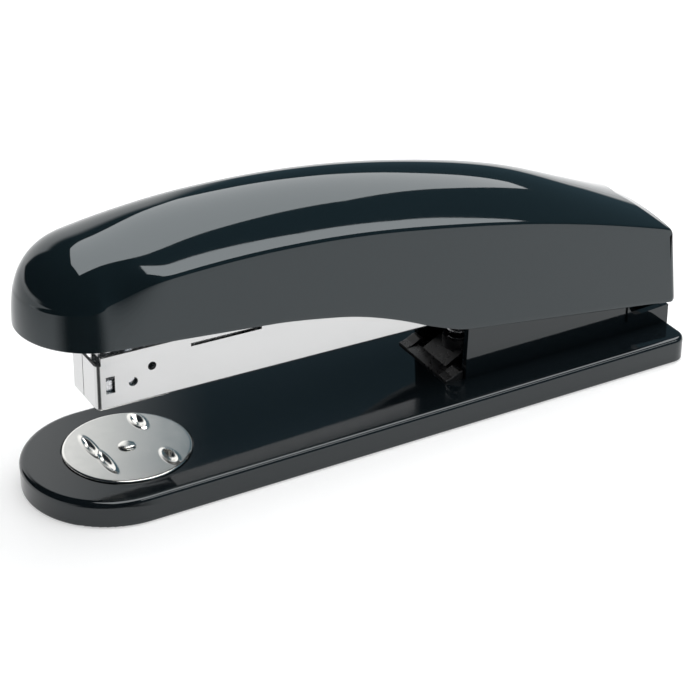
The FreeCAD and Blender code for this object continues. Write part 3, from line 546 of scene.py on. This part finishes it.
# ---- staples ----------------------------------------------------------------------------
def make_staples():
    """The strip as single staples side by side, each a flat wire bent round the rail."""
    low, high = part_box("staple_strip")
    slope = math.tan(MAGAZINE_TILT)
    length = high.y - low.y
    tall = high.z - low.z + slope * length
    wire, pitch = 0.5 * MM, 0.52 * MM
    bend_radius = 0.5 * MM
    half = high.x
    count = int(length / pitch)
    section = []
    for side in (-1, 1):
        bend = []
        for i in range(5):
            a = math.pi / 2 * i / 4
            bend.append((side * (half - bend_radius + bend_radius * math.cos(a)),
                         tall - bend_radius + bend_radius * math.sin(a)))
        outer_leg = [(side * half, 0.0)] + bend
        section.append(outer_leg if side > 0 else list(reversed(outer_leg)))
    outline = section[1] + section[0]
    inside = [(-half + wire, 0.0), (-half + wire, tall - wire), (half - wire, tall - wire),
              (half - wire, 0.0)]
    loop = outline + inside
    n = len(loop)
    verts, faces = [], []
    for k in range(count):
        y = low.y + pitch * k
        first = len(verts)
        for step in (0.0, pitch * 0.94):
            base = high.z - tall + slope * (y + step - low.y)
            verts += [(x, y + step, base + z) for x, z in loop]
        faces += [(first + i, first + (i + 1) % n, first + n + (i + 1) % n, first + n + i)
                  for i in range(n)]
        faces.append(tuple(first + i for i in range(n)))
        faces.append(tuple(first + n + i for i in reversed(range(n))))
    strip = mesh_object("staples", verts, faces, smooth=False)
    dress(strip, "staple_wire")
    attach(strip, "magazine")
    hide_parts("staple_strip")


# ---- springs ----------------------------------------------------------------------------
def coil_mesh(name, start, end, radius, wire, turns):
    """Round wire wound from start to end; its first and last turns lie close, as ground ends do."""
    axis = (end - start).normalized()
    side = axis.orthogonal().normalized()
    other = axis.cross(side)
    length = (end - start).length - wire
    steps = int(turns * 28)
    sides = 12
    verts = []
    for i in range(steps + 1):
        t = i / steps
        angle = 2 * math.pi * turns * t
        rise = length * (0.8 * t + 0.2 * blend_step(0.0, 1.0, t))
        outward = side * math.cos(angle) + other * math.sin(angle)
        centre = start + axis * (wire / 2 + rise) + outward * radius
        for c in range(sides):
            a = 2 * math.pi * c / sides
            verts.append(centre + (outward * math.cos(a) + axis * math.sin(a)) * (wire / 2))
    faces = ring_faces(steps + 1, sides)
    faces.append(tuple(reversed(range(sides))))
    faces.append(tuple(range(steps * sides, steps * sides + sides)))
    return mesh_object(name, verts, faces)


def make_spring(name, node, body, radius, wire, turns, start, end):
    """Coil in place of a CAD spring, riding on one body."""
    spring = coil_mesh(name, start, end, radius, wire, turns)
    dress(spring, "spring_steel")
    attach(spring, body)
    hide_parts(node)
    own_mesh(spring)


def make_springs():
    """The lifting, anvil and feed springs, each a coil at its CAD spring's place and length."""
    low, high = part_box("lift_spring")
    middle = (low + high) / 2
    bottom = Vector((middle.x, middle.y, low.z))
    make_spring("lift_coil", "lift_spring", "base", 3.4 * MM, 0.8 * MM, 4.5,
                bottom, Vector((middle.x, middle.y, high.z)))
    low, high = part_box("anvil_spring")
    middle = (low + high) / 2
    top = Vector((middle.x, middle.y, high.z))
    make_spring("anvil_coil", "anvil_spring", "base", 4.4 * MM, 0.6 * MM, 2.0,
                Vector((middle.x, middle.y, low.z)), top)
    low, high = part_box("pusher_spring")
    radius, wire = 1.75 * MM, 0.5 * MM
    edge = radius + wire / 2
    front = Vector(((low.x + high.x) / 2, low.y, high.z - edge))
    back = Vector((front.x, high.y, front.z + math.tan(MAGAZINE_TILT) * (high.y - low.y)))
    make_spring("feed_coil", "pusher_spring", "magazine", radius, wire, 17,
                front, back)


def box_mesh(name, low, high):
    """Plain box between two corners."""
    verts = [(x, y, z) for z in (low[2], high[2]) for y in (low[1], high[1]) for x in (low[0], high[0])]
    faces = [(0, 2, 3, 1), (4, 5, 7, 6), (0, 1, 5, 4), (2, 6, 7, 3), (0, 4, 6, 2), (1, 3, 7, 5)]
    return mesh_object(name, verts, faces, smooth=False)


def cut_rear_slots(cover):
    """Two slots for the pedestal's walls and the raised edge of the rear apron."""
    cutters = [
        box_mesh("cut", (SLOT_INSIDE, CUT_FRONT, CUT_FOOT), (SLOT_OUTSIDE, CUT_REAR, SLOT_TOP)),
        box_mesh("cut", (-SLOT_OUTSIDE, CUT_FRONT, CUT_FOOT), (-SLOT_INSIDE, CUT_REAR, SLOT_TOP)),
        box_mesh("cut", (-APRON_HALF, CUT_FRONT, CUT_FOOT), (APRON_HALF, CUT_REAR, APRON_TOP)),
    ]
    for cutter in cutters:
        bool_mod = cover.modifiers.new("cut", "BOOLEAN")
        bool_mod.operation = "DIFFERENCE"
        bool_mod.solver = "MANIFOLD"
        bool_mod.object = cutter
    bpy.context.view_layer.objects.active = cover
    for mod in list(cover.modifiers):
        bpy.ops.object.modifier_apply(modifier=mod.name)
    for cutter in cutters:
        mesh = cutter.data
        bpy.data.objects.remove(cutter)
        bpy.data.meshes.remove(mesh)


# ---- studio --------------------------------------------------------------------------------
# Camera as a separate fit to the base's edges and nose in the photo gave it
CAMERA_AZIMUTH = math.radians(60.563)
CAMERA_ELEVATION = math.radians(29.623)
CAMERA_DISTANCE = 0.54999
CAMERA_SHIFT_RIGHT = -0.855 * MM
CAMERA_SHIFT_UP = 14.821 * MM
CAMERA_LENS = 108.68
PANEL_HEIGHT = 0.85
# The dark card's fan, in degrees, and how far its two sides fade
CARD_START, CARD_END, CARD_FADE_IN, CARD_FADE_OUT = -72, 24, 30, 28
# Where parts of the world fade in, as (start, end) of a component of the direction
SWEEP_SIDE, SWEEP_TOP = (0.905, 0.95), (-0.70, -0.52)
HORIZON_TOP, HORIZON_AWAY = (-0.09, -0.03), (-0.1, 0.3)

# Plans of the two ceiling panels, in metres. Eight of these points are copied from the output of a
# separate script, which traced the photo's highlights back through the cover's reflections; five more
# are within 0.06 m of its points, and the others were adjusted until the picture matched.
SOFTBOX = ((-0.35, -0.12), (0.10, -0.30), (0.50, -0.30), (0.43, 0.16), (0.35, 0.37), (0.27, 0.59),
           (0.0, 0.89), (-0.20, 1.13), (-0.36, 1.32), (-0.47, 1.26), (-0.50, 0.90), (-0.63, 0.59),
           (-0.80, 0.34))
SIDE_BAND = ((0.64, 0.12), (0.88, 0.12), (0.95, 0.37), (0.98, 0.63), (0.94, 0.92), (0.74, 1.14), (0.54, 1.09),
             (0.67, 0.82), (0.71, 0.56), (0.68, 0.32))


def make_camera():
    """Camera at the photograph's viewing angle, aimed a little beside the origin."""
    a, e = CAMERA_AZIMUTH, CAMERA_ELEVATION
    back = Vector((math.sin(a) * math.cos(e), -math.cos(a) * math.cos(e), math.sin(e)))
    right = Vector((math.cos(a), math.sin(a), 0))
    up = back.cross(right)
    target = right * CAMERA_SHIFT_RIGHT + up * CAMERA_SHIFT_UP
    data = bpy.data.cameras.new("camera")
    data.lens = CAMERA_LENS
    data.sensor_width = 36
    data.clip_start = 0.01
    data.clip_end = 20
    camera = new_object("camera", data)
    camera.matrix_world = Matrix.Translation(target + back * CAMERA_DISTANCE) @ Matrix(
        (right, up, back)).transposed().to_4x4()
    bpy.context.scene.camera = camera


def area_light(name, place, aim, width, height, power):
    """Rectangular light at a place, turned towards its aim."""
    data = bpy.data.lights.new(name, "AREA")
    data.shape = "RECTANGLE"
    data.size = width
    data.size_y = height
    data.energy = power
    light = new_object(name, data)
    light.location = place
    light.rotation_mode = "QUATERNION"
    light.rotation_quaternion = (Vector(aim) - Vector(place)).to_track_quat("-Z", "Y")
    return light


def glowing_panel(name, outline, strength):
    """Level glowing panel with a shaped outline, over the object."""
    verts = [(x, y, PANEL_HEIGHT) for x, y in outline]
    panel = mesh_object(name, verts, [tuple(range(len(outline)))], smooth=False)
    mat = bpy.data.materials.new(name)
    mat.use_nodes = True
    shader = mat.node_tree.nodes["Principled BSDF"]
    shader.inputs["Base Color"].default_value = (0, 0, 0, 1)
    shader.inputs["Emission Color"].default_value = (1, 1, 1, 1)
    shader.inputs["Emission Strength"].default_value = strength
    panel.data.materials.append(mat)


def make_dark_card():
    """Black card on the floor in front of the nose that only reflections show, faded at both sides."""
    inner, outer = 0.03, 2.9
    steps = 40
    centre = Vector((0, NOSE_CENTRE, 0.0004))
    verts, fades = [], []
    for radius in (inner, outer):
        for i in range(steps + 1):
            turn = CARD_START + (CARD_END - CARD_START) * i / steps
            a = math.radians(turn)
            verts.append(centre + Vector((radius * math.cos(a), radius * math.sin(a), 0)))
            fade_in = blend_step(CARD_START, CARD_START + CARD_FADE_IN, turn)
            fades.append(fade_in * (1 - blend_step(CARD_END - CARD_FADE_OUT, CARD_END, turn)))
    faces = [(i, i + 1, i + 2 + steps, i + 1 + steps) for i in range(steps)]
    mesh = bpy.data.meshes.new("dark_card")
    mesh.from_pydata([tuple(v) for v in verts], [], faces)
    card = new_object("dark_card", mesh)
    fade = mesh.attributes.new("fade", "FLOAT", "POINT")
    for i, value in enumerate(fades):
        fade.data[i].value = value
    mat = bpy.data.materials.new("dark_card")
    mat.use_nodes = True
    shader = mat.node_tree.nodes["Principled BSDF"]
    shader.inputs["Base Color"].default_value = (0.02, 0.02, 0.02, 1)
    shader.inputs["Roughness"].default_value = 0.9
    reader = mat.node_tree.nodes.new("ShaderNodeAttribute")
    reader.attribute_name = "fade"
    mat.node_tree.links.new(reader.outputs["Fac"], shader.inputs["Alpha"])
    card.data.materials.append(mat)
    card.visible_camera = False
    card.visible_diffuse = False
    card.visible_shadow = False


def direction_value(tree, operation, first, second=None):
    """One maths node; inputs are sockets or plain numbers."""
    node = tree.nodes.new("ShaderNodeMath")
    node.operation = operation
    for place, value in enumerate((first, second)):
        if value is None:
            continue
        if isinstance(value, (int, float)):
            node.inputs[place].default_value = value
        else:
            tree.links.new(value, node.inputs[place])
    return node.outputs[0]


def soft_mask(tree, value, low, high):
    """0 below low, 1 above high, smooth between."""
    node = tree.nodes.new("ShaderNodeMapRange")
    node.interpolation_type = "SMOOTHSTEP"
    node.inputs["From Min"].default_value = low
    node.inputs["From Max"].default_value = high
    tree.links.new(value, node.inputs["Value"])
    return node.outputs["Result"]


def dark_side(tree, y):
    """Almost black in front of the nose, deep blue behind the hinge."""
    mix = tree.nodes.new("ShaderNodeMix")
    mix.data_type = "RGBA"
    mix.inputs["A"].default_value = (0.015, 0.02, 0.025, 1)
    mix.inputs["B"].default_value = (0.07, 0.12, 0.15, 1)
    tree.links.new(soft_mask(tree, y, 0.0, 0.4), mix.inputs["Factor"])
    return mix.outputs["Result"]


def make_world():
    """Dark ceiling, white sweep on the far side and white horizon; camera rays see plain white instead."""
    world = bpy.data.worlds.new("studio")
    world.use_nodes = True
    bpy.context.scene.world = world
    tree = world.node_tree
    coords = tree.nodes.new("ShaderNodeTexCoord")
    split = tree.nodes.new("ShaderNodeSeparateXYZ")
    tree.links.new(coords.outputs["Generated"], split.inputs["Vector"])
    x, y, z = split.outputs["X"], split.outputs["Y"], split.outputs["Z"]
    flat = direction_value(tree, "SQRT", direction_value(
        tree, "ADD", direction_value(tree, "MULTIPLY", x, x), direction_value(tree, "MULTIPLY", y, y)))
    across = direction_value(tree, "DIVIDE", x, direction_value(tree, "MAXIMUM", flat, 0.001))
    far_side = soft_mask(tree, direction_value(tree, "MULTIPLY", across, -1.0), *SWEEP_SIDE)
    below = soft_mask(tree, direction_value(tree, "MULTIPLY", z, -1.0), *SWEEP_TOP)
    sweep = direction_value(tree, "MULTIPLY", far_side, below)
    horizon = soft_mask(tree, direction_value(tree, "MULTIPLY", z, -1.0), *HORIZON_TOP)
    away = soft_mask(tree, direction_value(tree, "MULTIPLY", x, -1.0), *HORIZON_AWAY)
    white = direction_value(tree, "MAXIMUM", sweep, direction_value(tree, "MULTIPLY", horizon, away))
    mix = tree.nodes.new("ShaderNodeMix")
    mix.data_type = "RGBA"
    tree.links.new(dark_side(tree, y), mix.inputs["A"])
    mix.inputs["B"].default_value = (1.25, 1.25, 1.25, 1)
    tree.links.new(white, mix.inputs["Factor"])
    seen = tree.nodes.new("ShaderNodeMix")
    seen.data_type = "RGBA"
    seen.inputs["B"].default_value = (1, 1, 1, 1)
    path = tree.nodes.new("ShaderNodeLightPath")
    tree.links.new(path.outputs["Is Camera Ray"], seen.inputs["Factor"])
    tree.links.new(mix.outputs["Result"], seen.inputs["A"])
    background = tree.nodes["Background"]
    tree.links.new(seen.outputs["Result"], background.inputs["Color"])
    background.inputs["Strength"].default_value = 1.0


def make_floor():
    """Pale floor whose glow grows with its distance from the object, up to the white behind it."""
    size = 3.0
    floor = mesh_object("floor", [(-size, -size, 0), (size, -size, 0), (size, size, 0), (-size, size, 0)],
                        [(0, 1, 2, 3)], smooth=False)
    mat = bpy.data.materials.new("floor")
    mat.use_nodes = True
    shader = mat.node_tree.nodes["Principled BSDF"]
    shader.inputs["Base Color"].default_value = (0.55, 0.55, 0.55, 1)
    shader.inputs["Roughness"].default_value = 0.8
    shader.inputs["Specular IOR Level"].default_value = 0.1
    shader.inputs["Emission Color"].default_value = (1, 1, 1, 1)
    tree = mat.node_tree
    place = tree.nodes.new("ShaderNodeNewGeometry")
    reach = tree.nodes.new("ShaderNodeVectorMath")
    reach.operation = "LENGTH"
    tree.links.new(place.outputs["Position"], reach.inputs[0])
    glow = tree.nodes.new("ShaderNodeMapRange")
    glow.inputs["From Min"].default_value = 0.35
    glow.inputs["From Max"].default_value = 1.5
    glow.inputs["To Min"].default_value = 0.5
    glow.inputs["To Max"].default_value = 1.0
    tree.links.new(reach.outputs["Value"], glow.inputs["Value"])
    tree.links.new(glow.outputs["Result"], shader.inputs["Emission Strength"])
    floor.data.materials.append(mat)


def make_studio():
    """Surroundings and light. The panels and the world do nearly all the lighting; the fill is very weak."""
    bpy.context.scene.view_settings.view_transform = "Standard"
    make_world()
    make_floor()
    glowing_panel("overhead", SOFTBOX, 3.9)
    glowing_panel("side_band", SIDE_BAND, 4.1)
    make_dark_card()
    fill = area_light("fill", (0.9, -0.5, 0.8), (0, 0, 0.03), 0.4, 0.4, 0.3)
    fill.visible_glossy = False


# ---- everything ------------------------------------------------------------------------------
dress_cad_nodes()
make_camera()
make_cover()
make_anvil_plate()
make_anvil_rivet()
make_staples()
make_springs()
make_studio()
